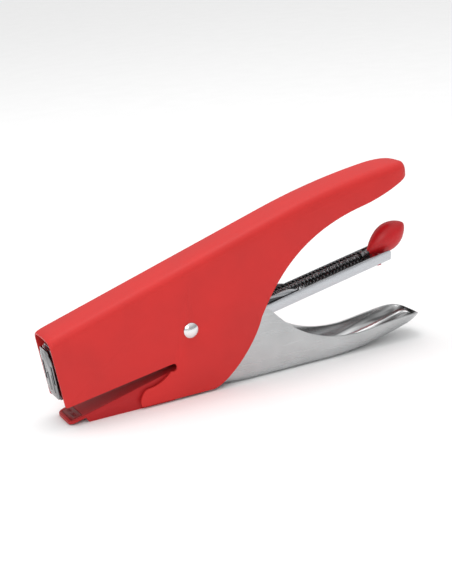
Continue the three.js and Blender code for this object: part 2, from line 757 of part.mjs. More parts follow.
// The block on the rod that pushes the staples forward by their crowns.
function staplePusher() {
  const rear = pusher.front + pusher.length;
  const wide = railOut - railSheet - fit;
  const body = block(pusher.front, rear, -wide, wide, railBase + railSheet + fit, pusherTop);
  const wings = block(pusher.front, rear, -magazineIn + fit, magazineIn - fit, railTop + fit, pusherTop);
  const plan = outline([
    [pusher.front, -magazineIn, 0.4], [rear, -magazineIn, 3], [rear, magazineIn, 3],
    [pusher.front, magazineIn, 0.4],
  ]);
  const bore = rodBore(pusher.front - past, rear + past);
  return body.add(wings).intersect(flatPlate(plan, -past, past)).subtract(bore);
}

// ---- assembly -----------------------------------------------------------------------------------

const stapler = new THREE.Group();
stapler.add(
  piece('casing', casing(), softRed),
  piece('anvil_arm', anvilArm(), softRed),
  piece('clinch_plate', clinchPlate(), plated),
  piece('magazine_lift_spring', liftSpring(), springSteel),
  piece('main_rivet', mainRivet(), chrome),
  piece('lower_handle', lowerHandle(), satin),
);

const rail = new THREE.Group();
rail.position.z = rivetHeight;
rail.rotation.y = -railSlope;
rail.add(
  piece('lever_bridge', leverBridge(), plated),
  piece('spring_seat', springSeat(), plated),
  piece('return_spring', returnSpring(), springSteel),
  piece('driver_pin', crossBar(pin.radius, leverOut - 0.1, pin.x, pin.z, 20), plated),
  piece('magazine_channel', magazineChannel(), plated),
  piece('staple_rail', stapleRail(), plated),
  piece('magazine_cover', magazineCover(), plated),
  piece('front_guide', frontGuide(), plated),
  piece('driver_blade', driverBlade(), plated),
  piece('driver_holder', driverHolder(), plated),
  piece('feeder_rod', feederRod(), plated),
  piece('feeder_spring', feederSpring(), springSteel),
  piece('rod_collar', rodCollar(spring.rear + fit, 1.2), plated),
  piece('feeder_knob', feederKnob(), glossRed),
  piece('staple_pusher', staplePusher(), plated),
);
stapler.add(rail);

for (const [name, x] of [['rail_rivet_front', railRivets.front], ['rail_rivet_rear', railRivets.rear]]) {
  const rivet = piece(name, railRivet(), plated);
  rivet.position.x = x;
  rail.add(rivet);
}

for (const [name, hand] of [['driver_rivet_left', -1], ['driver_rivet_right', 1]]) {
  const rivet = piece(name, driverRivet(), plated);
  rivet.position.set(0, hand * driverRivets.y, driverRivets.z);
  rail.add(rivet);
}

// The origin goes under the middle of the whole stapler.
const box = new THREE.Box3().setFromObject(stapler);
const middle = box.getCenter(new THREE.Vector3());
stapler.position.set(-middle.x, -middle.y, -box.min.z);

const product = new THREE.Group();
product.add(stapler);

export default product;
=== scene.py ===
import json
import math

import bmesh
import bpy
from bpy.props import FloatProperty, FloatVectorProperty, IntProperty, PointerProperty
from mathutils import Matrix, Vector


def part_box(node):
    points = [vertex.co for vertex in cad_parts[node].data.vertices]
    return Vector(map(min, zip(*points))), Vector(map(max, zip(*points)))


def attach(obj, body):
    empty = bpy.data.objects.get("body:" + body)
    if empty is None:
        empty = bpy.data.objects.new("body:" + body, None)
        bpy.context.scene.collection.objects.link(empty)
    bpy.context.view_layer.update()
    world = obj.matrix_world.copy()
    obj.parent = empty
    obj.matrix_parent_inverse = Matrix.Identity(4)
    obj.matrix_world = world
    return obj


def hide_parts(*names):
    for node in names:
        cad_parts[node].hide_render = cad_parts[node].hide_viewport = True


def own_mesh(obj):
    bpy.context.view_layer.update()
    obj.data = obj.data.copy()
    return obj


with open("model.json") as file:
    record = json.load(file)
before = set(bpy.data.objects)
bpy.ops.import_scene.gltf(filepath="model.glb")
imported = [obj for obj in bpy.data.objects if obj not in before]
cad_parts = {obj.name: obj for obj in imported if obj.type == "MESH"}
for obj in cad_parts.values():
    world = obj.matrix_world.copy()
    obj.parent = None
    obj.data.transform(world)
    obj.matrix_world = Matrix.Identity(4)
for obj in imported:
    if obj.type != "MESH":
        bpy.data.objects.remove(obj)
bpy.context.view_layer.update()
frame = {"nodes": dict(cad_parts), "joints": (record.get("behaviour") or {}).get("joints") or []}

bl_info = {
    "name": "Plier Stapler",
    "version": (1, 0, 0),
    "blender": (4, 5, 0),
    "location": "View3D > Sidebar > Stapler",
    "description": "Finishes a plier stapler: coated casing, plated lever, magazine, springs and knob",
    "category": "Object",
}

# ---- the stapler's own frame ---------------------------------------------------------------------

MM = 0.001
JOINTS = {joint["name"]: joint for joint in frame["joints"]}
RIVET = Vector(JOINTS["squeeze"]["pos_m"])
RAIL = Vector(JOINTS["feeder_pull"]["axis"])
DOWN = Vector(JOINTS["driver_slide"]["axis"])
RAIL_SLOPE = math.atan2(RAIL.z, RAIL.x)


def from_rivet(x, y, z):
    """A point in metres, given in millimetres: x from the main rivet, z from the table."""
    return Vector((RIVET.x + x * MM, y * MM, z * MM))


def on_rail(x, y, z):
    """A point in metres, given in millimetres along the magazine's rail and off it."""
    return RIVET + RAIL * (x * MM) - DOWN * (z * MM) + Vector((0, y * MM, 0))


def reach(node):
    """How far a node reaches behind the main rivet, in millimetres."""
    return (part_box(node)[1].x - RIVET.x) / MM


RIVET_HEIGHT = RIVET.z / MM
CASING_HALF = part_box("casing")[1].y / MM
LEVER_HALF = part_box("driver_pin")[1].y / MM + 0.1
LEVER_SHEET = 1.1
MAGAZINE_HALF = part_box("magazine_channel")[1].y / MM
MAGAZINE_SHEET = 0.7
UPPER_REACH = reach("casing") - 1.9
LOWER_REACH = reach("lower_handle")
THROAT_REACH = 59.9
RIVET_BORE = 2.3
PIN_BORE = 1.8
LEAST_HALF = 0.3  # half the width that a handle closes to at its very end
PAST = 40  # how far a cutter runs past what it cuts
SHARP_DEG = 32  # an edge that turns more than this stays sharp

# ---- meshes --------------------------------------------------------------------------------------

def new_object(name, mesh):
    """A named object in the scene that holds this mesh."""
    piece = bpy.data.objects.new(name, mesh)
    bpy.context.scene.collection.objects.link(piece)
    return piece


def mesh_object(name, points, faces):
    """An object made of points in metres and faces of point numbers, with its faces turned outwards."""
    mesh = bpy.data.meshes.new(name)
    mesh.from_pydata([tuple(p) for p in points], [], faces)
    solid = bmesh.new()
    solid.from_mesh(mesh)
    bmesh.ops.remove_doubles(solid, verts=solid.verts, dist=1e-7)
    bmesh.ops.recalc_face_normals(solid, faces=solid.faces)
    solid.to_mesh(mesh)
    solid.free()
    return new_object(name, mesh)


def skin(name, rings):
    """A closed object skinned over rings that all have the same number of points."""
    count = len(rings[0])
    points = [p for ring in rings for p in ring]
    faces = []
    for row in range(len(rings) - 1):
        a, b = row * count, (row + 1) * count
        for i in range(count):
            j = (i + 1) % count
            faces.append((a + i, a + j, b + j, b + i))
    faces.append(tuple(range(count))[::-1])
    faces.append(tuple((len(rings) - 1) * count + i for i in range(count)))
    return mesh_object(name, points, faces)


def side_plate(name, outline, half_width, place=from_rivet):
    """A side-view outline of (x, z) points, given its width in Y."""
    near = [place(x, -half_width, z) for x, z in outline]
    far = [place(x, half_width, z) for x, z in outline]
    return skin(name, [near, far])


def curve(start, first, second, end, steps=16):
    """Points along a cubic curve, without its start."""
    corners = (start, first, second, end)
    points = []
    for i in range(1, steps + 1):
        t = i / steps
        u = 1 - t
        weights = (u ** 3, 3 * u * u * t, 3 * u * t * t, t ** 3)
        points.append(tuple(sum(w * p[k] for w, p in zip(weights, corners)) for k in (0, 1)))
    return points


def arc(centre, radius, start, end, steps):
    """Points round an arc, angles in radians, both ends included."""
    return [
        (centre[0] + radius * math.cos(start + (end - start) * i / steps),
         centre[1] + radius * math.sin(start + (end - start) * i / steps))
        for i in range(steps + 1)
    ]


def combine(piece, tool, operation):
    """Joins, cuts or crosses the piece with the tool, which goes; new faces keep the tool's material."""
    boolean = piece.modifiers.new("combine", "BOOLEAN")
    boolean.operation = operation
    boolean.solver = "EXACT"
    boolean.material_mode = "TRANSFER"
    boolean.object = tool
    settle(piece)
    bpy.data.objects.remove(tool)


def block(name, low, high, place=from_rivet):
    """A block between two corners."""
    (x0, y0, z0), (x1, y1, z1) = low, high
    rings = [[place(x, y, z) for y, z in ((y0, z0), (y1, z0), (y1, z1), (y0, z1))] for x in (x0, x1)]
    return skin(name, rings)


def cross_bar(name, radius, x, z):
    """A round cutter across the stapler."""
    sides = 64
    turns = [2 * math.pi * i / sides for i in range(sides)]
    rings = [
        [from_rivet(x + radius * math.cos(a), y, z + radius * math.sin(a)) for a in turns]
        for y in (-PAST, PAST)
    ]
    return skin(name, rings)


def channel_ring(x, half, face, corner, mouth, crown):
    """A pressed channel's cross-section: a face, two walls to its mouth, and rounded corners between."""
    round_steps, flat_steps = 12, 6
    up = 1 if face > mouth else -1
    r = min(corner, 0.9 * half)
    across = [half - r + r * math.cos(i / round_steps * math.pi / 2) for i in range(round_steps + 1)]
    drops = [r - r * math.sin(i / round_steps * math.pi / 2) for i in range(round_steps + 1)]
    across += [(half - r) * (1 - i / flat_steps) for i in range(1, flat_steps + 1)]
    drops += [0.0] * flat_steps
    side = [(half, mouth)]
    side += [(y, face - up * (drop + crown * (y / half) ** 2)) for y, drop in zip(across, drops)]
    ring = side + [(-y, z) for y, z in side[-2::-1]]
    return [from_rivet(x, y, z) for y, z in ring]


def round_off(x, start, end):
    """1 along a handle, falling to 0 at its end as a quarter of an ellipse."""
    along = min(max((x - start) / (end - start), 0.0), 1.0)
    return math.sqrt(1 - along * along)


def smooth_step(x, start, end):
    """0 before start, 1 after end, and an S-curve between."""
    along = min(max((x - start) / (end - start), 0.0), 1.0)
    return along * along * (3 - 2 * along)


def stations(first, last, end_start, even, closing):
    """Stations along a handle: even along its length, closing up through its rounded end."""
    places = [first + (end_start - first) * i / even for i in range(even)]
    return places + [
        end_start + (last - end_start) * math.sin(i / closing * math.pi / 2) for i in range(closing + 1)
    ]


def coil(name, start, axis, outer, wire, length, turns, steps, sides=8):
    """Round wire wound on an axis from its start point: radii and length in millimetres."""
    across = axis.orthogonal().normalized()
    up = axis.cross(across).normalized()
    radius = outer - wire
    total = round(turns * steps)
    rings = []
    for i in range(total + 1):
        angle = 2 * math.pi * turns * i / total
        out = across * math.cos(angle) + up * math.sin(angle)
        run = up * math.cos(angle) - across * math.sin(angle)
        along = (run * (2 * math.pi * radius * turns) + axis * (length - 2 * wire)).normalized()
        side = along.cross(out)
        centre = start + (out * radius + axis * (wire + (length - 2 * wire) * i / total)) * MM
        rings.append([
            centre + (out * math.cos(b) + side * math.sin(b)) * (wire * MM)
            for b in (2 * math.pi * k / sides for k in range(sides))
        ])
    return skin(name, rings)


def settle(piece):
    """Applies the piece's modifiers to its mesh."""
    bpy.context.view_layer.update()
    graph = bpy.context.evaluated_depsgraph_get()
    mesh = bpy.data.meshes.new_from_object(piece.evaluated_get(graph))
    piece.modifiers.clear()
    piece.data = mesh


def shading_group():
    """A node group that shades smooth and keeps edges sharp past an angle."""
    name = "smooth_but_sharp_corners"
    if name in bpy.data.node_groups:
        return bpy.data.node_groups[name]
    group = bpy.data.node_groups.new(name, "GeometryNodeTree")
    group.interface.new_socket("Geometry", in_out="INPUT", socket_type="NodeSocketGeometry")
    angle = group.interface.new_socket("Angle", in_out="INPUT", socket_type="NodeSocketFloat")
    angle.default_value = math.radians(SHARP_DEG)
    group.interface.new_socket("Geometry", in_out="OUTPUT", socket_type="NodeSocketGeometry")
    nodes, links = group.nodes, group.links
    source = nodes.new("NodeGroupInput")
    result = nodes.new("NodeGroupOutput")
    edge = nodes.new("GeometryNodeInputMeshEdgeAngle")
    sharper = nodes.new("FunctionNodeCompare")
    sharper.data_type = "FLOAT"
    sharper.operation = "GREATER_THAN"
    smooth = nodes.new("GeometryNodeSetShadeSmooth")
    smooth.domain = "FACE"
    sharp = nodes.new("GeometryNodeSetShadeSmooth")
    sharp.domain = "EDGE"
    sharp.inputs["Shade Smooth"].default_value = False
    links.new(source.outputs[0], smooth.inputs["Geometry"])
    links.new(edge.outputs["Unsigned Angle"], sharper.inputs[0])
    links.new(source.outputs[1], sharper.inputs[1])
    links.new(smooth.outputs[0], sharp.inputs["Geometry"])
    links.new(sharper.outputs[0], sharp.inputs["Selection"])
    links.new(sharp.outputs[0], result.inputs[0])
    return group


def soften(piece, radius_mm, segments=2, corner_deg=28, dissolve_deg=0.6):
    """Joins flat facets, rounds the corners and shades the piece smooth between them."""
    weld = piece.modifiers.new("weld", "WELD")
    weld.merge_threshold = 1e-6
    if dissolve_deg:
        flat = piece.modifiers.new("flat_faces", "DECIMATE")
        flat.decimate_type = "DISSOLVE"
        flat.angle_limit = math.radians(dissolve_deg)
    if radius_mm:
        bevel = piece.modifiers.new("rounded_corners", "BEVEL")
        bevel.width = radius_mm * MM
        bevel.segments = segments
        bevel.limit_method = "ANGLE"
        bevel.angle_limit = math.radians(corner_deg)
        bevel.use_clamp_overlap = True
        bevel.miter_outer = "MITER_ARC"
    smooth = piece.modifiers.new("smooth", "NODES")
    smooth.node_group = shading_group()


def finish_node(name, material, radius_mm=0.12, segments=2):
    """Gives a carried-over piece its material, rounded corners and smooth shading."""
    piece = frame["nodes"][name]
    paint(piece, material)
    soften(piece, radius_mm, segments)


def paint(piece, *materials):
    """The piece gets these materials in its slots, in order."""
    piece.data.materials.clear()
    for material in materials:
        piece.data.materials.append(material)


# ---- the casing's form ---------------------------------------------------------------------------

TOP_SLOPE = math.tan(math.radians(16.8))
TOP_OVER_RIVET = 29.0
BEND_START = 45.0
LEVELLING = 183  # the top would be level after about half of this past the bend
TIP_DROP = 5.2  # from the top down to the middle of the handle's rounded end
CASING_FRONT = -THROAT_REACH - 4.9
SKIRT = 1.1
SLOT_END = (-9.9, RIVET_HEIGHT - 14.9)
SLOT_RADIUS = 1.8


def casing_top(x):
    """Height of the casing's top: straight over the nose, then levelling out towards the end."""
    straight = RIVET_HEIGHT + TOP_OVER_RIVET + min(x, BEND_START) * TOP_SLOPE
    beyond = max(x - BEND_START, 0)
    level = beyond * TOP_SLOPE * (1 - beyond / LEVELLING)
    lip_length, lip_drop = 4.8, 1.2
    roll = min(max((lip_length + CASING_FRONT - x) / lip_length, 0), 1)
    return straight + level - lip_drop * (1 - math.sqrt(1 - roll * roll))


def casing_body(name, inset, front):
    """The casing as a cap, inset all round by the sheet's thickness."""
    corner, crown, bluntness = 3.6, 0.7, 0.45
    end_start = UPPER_REACH - 15.5
    last = UPPER_REACH - inset
    end_z = casing_top(UPPER_REACH) - TIP_DROP
    rings = []
    for x in stations(front, last, end_start, 70, 26):
        fade = round_off(x, end_start, last)
        half = max((CASING_HALF - inset) * math.sqrt(fade), LEAST_HALF)
        face = end_z + (casing_top(x) - inset - end_z) * fade ** bluntness
        rings.append(channel_ring(x, half, face, corner - inset, -PAST, crown * fade))
    return skin(name, rings)


def casing_outline():
    """The casing from the side: nose, paper slot, skirt, and the curve under the handle."""
    high = 160
    nose_z = SLOT_END[1] - 6.2
    lean = math.tan(math.radians(6.9))
    end_x, end_z = UPPER_REACH, casing_top(UPPER_REACH) - TIP_DROP
    rise = math.atan2(SLOT_END[1] + SLOT_RADIUS - nose_z, THROAT_REACH + SLOT_END[0])
    points = [(-THROAT_REACH - lean * (high - nose_z), high), (-THROAT_REACH - lean * 2, nose_z + 2)]
    corner = (-THROAT_REACH, nose_z)
    points += curve(points[-1], corner, corner, (2 - THROAT_REACH, nose_z + 0.3), 8)
    points += arc(SLOT_END, SLOT_RADIUS, math.pi / 2 + rise, -0.7 * math.pi, 24)
    toe_x, toe_z = SLOT_END[0] - 12.5, SLOT_END[1] - 6.8
    points += curve(points[-1], (toe_x + 7.4, toe_z + 1.3), (toe_x + 3.4, toe_z + 0.2), (toe_x, toe_z))
    points += curve(points[-1], (toe_x - 2.2, toe_z - 0.2), (toe_x - 4.2, SKIRT + 3.5),
                    (toe_x - 3.9, SKIRT + 1.6))
    points += curve(points[-1], (toe_x - 3.7, SKIRT), (toe_x - 3.4, SKIRT), (toe_x - 2, SKIRT), 8)
    bend = (34.5, RIVET_HEIGHT - 1.6)
    grip = (UPPER_REACH - 26.0, end_z - 11.6)
    points += [(8.4, SKIRT)]
    points += curve(points[-1], (16.6, SKIRT + 1.4), (30.4, bend[1] - 11.6), bend, 28)
    points += curve(points[-1], (44.8, bend[1] + 18.2), (grip[0] - 31.2, grip[1] - 6.2), grip, 40)
    points += curve(points[-1], (grip[0] + 8, grip[1] + 1.8), (end_x - 12, end_z - 7),
                    (end_x - 5.4, end_z - 4.6), 12)
    end = (end_x, end_z - 0.6)
    points += curve(points[-1], (end_x - 2.2, end_z - 3.4), (end_x - 0.1, end_z - 2.6), end, 12)
    return points + [(end_x + PAST, end[1]), (end_x + PAST, high)]


# ---- the lower handle's form ---------------------------------------------------------------------

BELLY = (30.0, 70.0)  # the flat stretch that the stapler stands on
PIN = (-50.0, 11.35)  # driver pin, along the rail and off it
LEVER_END = LOWER_REACH - 1.5


def lever_body(name, inset):
    """The lower handle as a trough that widens into a spoon and closes in a round tip."""
    front, tip_z, bluntness = -2.0, 7.9, 0.36
    front_rise, rear_rise, spoon_spread = 4.4, 9.3, 1.5
    end_start = LOWER_REACH - 10
    last = LEVER_END - inset
    rings = []
    for x in stations(front, last, end_start, 66, 24):
        fade = round_off(x, end_start, last)
        spread = spoon_spread * smooth_step(x, LOWER_REACH - 70, LOWER_REACH - 14)
        half = max((LEVER_HALF + spread - inset) * fade ** bluntness, LEAST_HALF)
        ahead = max(BELLY[0] - x, 0) / (BELLY[0] - front)
        behind = max(x - BELLY[1], 0) / (LOWER_REACH - BELLY[1])
        floor = front_rise * ahead ** 2 + rear_rise * behind ** 2 + inset
        face = floor + (1 - fade) * (tip_z + 0.5 * inset - floor)
        corner = 3.4 + 3.2 * smooth_step(x, 66, 104) - inset
        rings.append(channel_ring(x, half, face, corner, 2 * PAST, 0.5 * spread))
    return skin(name, rings)


def lever_outline():
    """The lower handle from the side: forward arm, ear round the rivet, and the rim to the spoon."""
    end, rim, height = LOWER_REACH, 9.6, RIVET_HEIGHT
    tip = on_rail(PIN[0], 0, PIN[1]) - RIVET
    tip_x, tip_z = tip.x / MM, tip.z / MM + height
    points = [(4.5, -PAST), (end + PAST, -PAST), (end + PAST, rim + 0.8), (LEVER_END, rim + 0.8)]
    points += curve(points[-1], (end - 7, rim + 4.6), (end - 20, rim + 1.2), (end - 36.8, rim), 30)
    points += curve(points[-1], (end - 54.8, rim), (54, rim + 5), (42, height - 2.4), 40)
    points += curve(points[-1], (36, height + 4.2), (30, height + 9.2), (18, height + 9.2), 20)
    points += [(0, height + 8.6), (tip_x, tip_z + 4.2)]
    points += arc((tip_x, tip_z), 4.2, math.pi / 2, 1.5 * math.pi, 20)[1:]
    points += [(-13, height - 5.6)]
    points += curve(points[-1], (-7, height - 6), (-3.5, height - 9), (-3, height - 15), 16)
    return points, (tip_x, tip_z)


# ---- materials -----------------------------------------------------------------------------------

class Shader:
    """A material whose nodes are joined by name."""

    def __init__(self, name):
        self.material = bpy.data.materials.new(name)
        self.material.use_nodes = True
        self.nodes = self.material.node_tree.nodes
        self.links = self.material.node_tree.links
        self.surface = self.nodes["Principled BSDF"]

    def set(self, **values):
        """Sets the shader's own sockets, named with underscores for spaces."""
        for name, value in values.items():
            self.surface.inputs[name.replace("_", " ")].default_value = value

    def add(self, kind, **values):
        """A new node with these socket values and attributes."""
        node = self.nodes.new(kind)
        for name, value in values.items():
            if name in node.inputs:
                node.inputs[name].default_value = value
            else:
                setattr(node, name, value)
        return node

    def join(self, source, target):
        """Links one socket to another."""
        self.links.new(source, target)

    def place(self, scale=(1, 1, 1), turn=(0, 0, 0)):
        """Object coordinates, turned and scaled."""
        where = self.add("ShaderNodeTexCoord")
        mapping = self.add("ShaderNodeMapping")
        mapping.inputs["Rotation"].default_value = turn
        mapping.inputs["Scale"].default_value = scale
        self.join(where.outputs["Object"], mapping.inputs["Vector"])
        return mapping.outputs["Vector"]

    def noise(self, vector, scale, detail, roughness=0.5):
        """Soft noise over these coordinates."""
        noise = self.add("ShaderNodeTexNoise", Scale=scale, Detail=detail, Roughness=roughness)
        self.join(vector, noise.inputs["Vector"])
        return noise.outputs["Fac"]

    def spread(self, value, low, high, start=0.3, end=0.7):
        """A value between start and end carried on to between low and high."""
        spread = self.add("ShaderNodeMapRange")
        spread.inputs["From Min"].default_value = start
        spread.inputs["From Max"].default_value = end
        spread.inputs["To Min"].default_value = low
        spread.inputs["To Max"].default_value = high
        self.join(value, spread.inputs["Value"])
        return spread.outputs["Result"]

    def ramp(self, value, *stops):
        """A colour ramp of (place, colour) stops."""
        ramp = self.add("ShaderNodeValToRGB")
        elements = ramp.color_ramp.elements
        while len(elements) < len(stops):
            elements.new(0.5)
        for element, (place, colour) in zip(elements, stops):
            element.position = place
            element.color = (*colour[:3], 1)
        self.join(value, ramp.inputs["Fac"])
        return ramp.outputs["Color"]

    def bump(self, height, strength, distance_mm):
        """Fine relief from a height value."""
        bump = self.add("ShaderNodeBump", Strength=strength, Distance=distance_mm * MM)
        self.join(height, bump.inputs["Height"])
        self.join(bump.outputs["Normal"], self.surface.inputs["Normal"])


def shade(colour, factor):
    """The colour made lighter or darker."""
    return tuple(min(1.0, c * factor) for c in colour[:3])


def coated_red(name, colour, roughness, grain):
    """Sprayed colour coat: faint mottling, fine grain, and rubbed, smoother patches."""
    coat = Shader(name)
    broad = coat.noise(coat.place(), 45, 2)
    fine = coat.noise(coat.place(), 2600, 4, 0.6)
    tint = coat.ramp(broad, (0.3, shade(colour, 0.94)), (0.7, shade(colour, 1.06)))
    coat.join(tint, coat.surface.inputs["Base Color"])
    coat.join(coat.spread(broad, roughness - 0.05, roughness + 0.05), coat.surface.inputs["Roughness"])
    coat.bump(fine, grain, 0.03)
    coat.set(Metallic=0.0, IOR=1.46, Specular_IOR_Level=0.3)
    return coat.material


def drawn_steel(name, colour, roughness, along=(14, 320, 320), streak=0.08):
    """Plated sheet steel with fine drawing lines along the piece and soft clouding."""
    steel = Shader(name)
    lines = steel.noise(steel.place(along), 6, 3, 0.6)
    cloud = steel.noise(steel.place(), 70, 3)
    tint = steel.ramp(cloud, (0.3, shade(colour, 0.93)), (0.7, shade(colour, 1.05)))
    steel.join(tint, steel.surface.inputs["Base Color"])
    steel.join(steel.spread(lines, roughness - streak, roughness + streak), steel.surface.inputs["Roughness"])
    steel.bump(lines, 0.12, 0.02)
    steel.set(Metallic=1.0)
    return steel.material


def chrome_with_painted_reflections(name, colour, along, turn=0.0):
    """Bright plate whose colour runs in long dark and light streaks, which are painted reflections."""
    chrome = Shader(name)
    painted_reflection_streaks = chrome.noise(chrome.place(along, (0, turn, 0)), 2, 2, 0.5)
    # The ramp paints dark and light reflections into the plate's colour.
    tint = chrome.ramp(
        painted_reflection_streaks, (0.34, shade(colour, 0.16)), (0.44, shade(colour, 0.6)), (0.56, shade(colour, 0.95)),
        (0.7, shade(colour, 1.45)),
    )
    chrome.join(tint, chrome.surface.inputs["Base Color"])
    chrome.join(chrome.spread(painted_reflection_streaks, 0.24, 0.16), chrome.surface.inputs["Roughness"])
    chrome.bump(painted_reflection_streaks, 0.1, 0.02)
    chrome.set(Metallic=1.0)
    return chrome.material


def spring_wire(name, colour):
    """Dark wire with brighter flecks, which are painted glints."""
    wire = Shader(name)
    painted_glints = wire.noise(wire.place(), 900, 4, 0.7)
    # The ramp's light end paints glints into the wire's colour.
    tint = wire.ramp(painted_glints, (0.42, shade(colour, 0.55)), (0.62, shade(colour, 2.1)))
    wire.join(tint, wire.surface.inputs["Base Color"])
    wire.join(wire.spread(painted_glints, 0.2, 0.42), wire.surface.inputs["Roughness"])
    wire.set(Metallic=1.0)
    return wire.material


def worn_paint_in_painted_shade(name, colour, bare):
    """Paint darkened to about half, partly as painted shade from the nose above, and rubbed through in spots
    where the staples strike.
    """
    coat = Shader(name)
    wear_and_shade = coat.noise(coat.place(), 520, 4, 0.65)
    # The ramp darkens the paint, partly as painted shade, and ends in bare metal where it is worn.
    tint = coat.ramp(wear_and_shade, (0.4, shade(colour, 0.42)), (0.6, shade(colour, 0.62)), (0.8, bare))
    coat.join(tint, coat.surface.inputs["Base Color"])
    coat.join(coat.spread(wear_and_shade, 0.35, 0.5), coat.surface.inputs["Roughness"])
    coat.bump(wear_and_shade, 0.15, 0.05)
    coat.set(Metallic=0.0, IOR=1.5)
    return coat.material


def magazine_sheet(name, colour, shade_tone):
    """Plated sheet, bright outside, with painted shade between the magazine's walls above its floor."""
    sheet = Shader(name)
    lines = sheet.noise(sheet.place((14, 320, 320), (0, RAIL_SLOPE, 0)), 6, 3, 0.6)
    smears = sheet.noise(sheet.place((60, 260, 260), (0, RAIL_SLOPE, 0)), 8, 4, 0.6)
    where = sheet.add("ShaderNodeTexCoord")
    across = sheet.add("ShaderNodeSeparateXYZ")
    sheet.join(where.outputs["Object"], across.inputs["Vector"])
    distance = sheet.add("ShaderNodeMath", operation="ABSOLUTE")
    sheet.join(across.outputs["Y"], distance.inputs[0])
    edge = (MAGAZINE_HALF - MAGAZINE_SHEET + 0.1) * MM
    inner = sheet.spread(distance.outputs[0], 1, 0, edge, edge + 0.0001)
    off_rail = sheet.add("ShaderNodeVectorMath", operation="DOT_PRODUCT")
    sheet.join(where.outputs["Object"], off_rail.inputs[0])
    off_rail.inputs[1].default_value = -DOWN
    floor = -DOWN.dot(on_rail(0, 0, -9.4))
    above = sheet.spread(off_rail.outputs["Value"], 0, 1, floor, floor + 0.0001)
    # Mask for the inside between the walls and above the floor, where painted shade goes.
    shaded_inside = sheet.add("ShaderNodeMath", operation="MULTIPLY")
    sheet.join(inner, shaded_inside.inputs[0])
    sheet.join(above, shaded_inside.inputs[1])
    bright = sheet.ramp(smears, (0.3, shade(colour, 0.94)), (0.7, shade(colour, 1.04)))
    # Painted shade: a dark tone, mixed with some of the sheet's own colour.
    painted_shade = sheet.ramp(smears, (0.4, shade(shade_tone, 0.35)), (0.6, shade(shade_tone, 1.1)), (0.68, shade(colour, 0.9)))
    tint = sheet.add("ShaderNodeMix", data_type="RGBA")
    sheet.join(shaded_inside.outputs[0], tint.inputs["Factor"])
    sheet.join(bright, tint.inputs[6])
    sheet.join(painted_shade, tint.inputs[7])
    sheet.join(tint.outputs[2], sheet.surface.inputs["Base Color"])
    sheet.join(sheet.spread(lines, 0.17, 0.31), sheet.surface.inputs["Roughness"])
    sheet.bump(lines, 0.12, 0.02)
    sheet.set(Metallic=1.0)
    return sheet.material


def glossy_plastic(name, colour):
    """Moulded plastic: a deep even colour, slightly wavy gloss."""
    plastic = Shader(name)
    broad = plastic.noise(plastic.place(), 120, 2)
    tint = plastic.ramp(broad, (0.3, shade(colour, 0.95)), (0.7, shade(colour, 1.05)))
    plastic.join(tint, plastic.surface.inputs["Base Color"])
    plastic.join(plastic.spread(broad, 0.38, 0.46), plastic.surface.inputs["Roughness"])
    plastic.bump(plastic.noise(plastic.place(), 240, 2), 0.05, 0.1)
    plastic.set(Metallic=0.0, IOR=1.49, Coat_Weight=0.1, Coat_Roughness=0.25, Specular_IOR_Level=0.35)
    return plastic.material


# ---- what a user would change --------------------------------------------------------------------

def colour(name, description, value):
    """A colour that a user can change."""
    return FloatVectorProperty(
        name=name, description=description, default=value, subtype="COLOR", size=3, min=0, max=1
    )


class StaplerColours(bpy.types.PropertyGroup):
    """Colours of the stapler's finishes."""

    casing: colour("Casing", "Soft coat on the casing", (0.60, 0.027, 0.025))
    arm: colour("Anvil arm", "Paint on the anvil arm", (0.46, 0.016, 0.018))
    knob: colour("Knob", "Moulded plastic of the feeder knob", (0.52, 0.008, 0.012))
    lever: colour("Lower handle", "Nickel plate of the lower handle", (0.5, 0.51, 0.515))
    spoon: colour("Spoon", "Bright plate inside the lower handle", (0.62, 0.625, 0.63))
    magazine: colour("Magazine", "Zinc plate of the magazine", (0.53, 0.545, 0.57))
    rivet: colour("Rivet", "Polished main rivet", (0.78, 0.78, 0.79))
    spring: colour("Springs", "Spring wire", (0.16, 0.16, 0.165))
    floor: colour("Floor", "Studio floor", (0.95, 0.95, 0.95))


class StaplerSizes(bpy.types.PropertyGroup):
    """Sizes of what is finished here."""

    corner: FloatProperty(
        name="Sheet corner", description="Rounding of the magazine's edges, in millimetres",
        default=0.12, min=0.02, max=0.3,
    )
    casing_sheet: FloatProperty(
        name="Casing sheet", description="Thickness of the casing with its coat, in millimetres",
        default=1.0, min=0.8, max=1.3,
    )
    casing_edge: FloatProperty(
        name="Casing edge", description="Rounding of the casing's edges, in millimetres",
        default=0.28, min=0.05, max=0.4,
    )
    lever_edge: FloatProperty(
        name="Lever edge", description="Rounding of the lower handle's edges, in millimetres",
        default=0.3, min=0.05, max=0.45,
    )
    spring_turns: IntProperty(
        name="Feeder spring turns", description="Turns of the long feeder spring", default=74, min=20, max=120
    )
    camera_distance: FloatProperty(
        name="Camera distance", description="From the camera to the stapler", default=0.6, unit="LENGTH"
    )
    camera_lens: FloatProperty(
        name="Camera lens", description="Focal length in millimetres", default=83.5, min=20, max=200
    )


def sizes():
    """The sizes set in this scene."""
    return bpy.context.scene.stapler_sizes


def colours():
    """The colours set in this scene."""
    return bpy.context.scene.stapler_colours


# ---- operators -----------------------------------------------------------------------------------

class STAPLER_OT_casing(bpy.types.Operator):
    """Form the pressed casing that is the upper handle and coat it"""

    bl_idname = "stapler.casing"
    bl_label = "Casing"

    def execute(self, context):
        coat = coated_red("soft_coat", colours().casing, 0.5, 0.06)
        sheet = sizes().casing_sheet
        casing = casing_body("pressed_casing", 0, CASING_FRONT)
        combine(casing, side_plate("casing_side", casing_outline(), PAST), "INTERSECT")
        combine(casing, casing_body("casing_hollow", sheet, CASING_FRONT - 5), "DIFFERENCE")
        combine(casing, cross_bar("rivet_hole", RIVET_BORE, 0, RIVET_HEIGHT), "DIFFERENCE")
        paint(casing, coat)
        soften(casing, sizes().casing_edge, 3, 40)
        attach(casing, "body")
        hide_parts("casing")
        return {"FINISHED"}


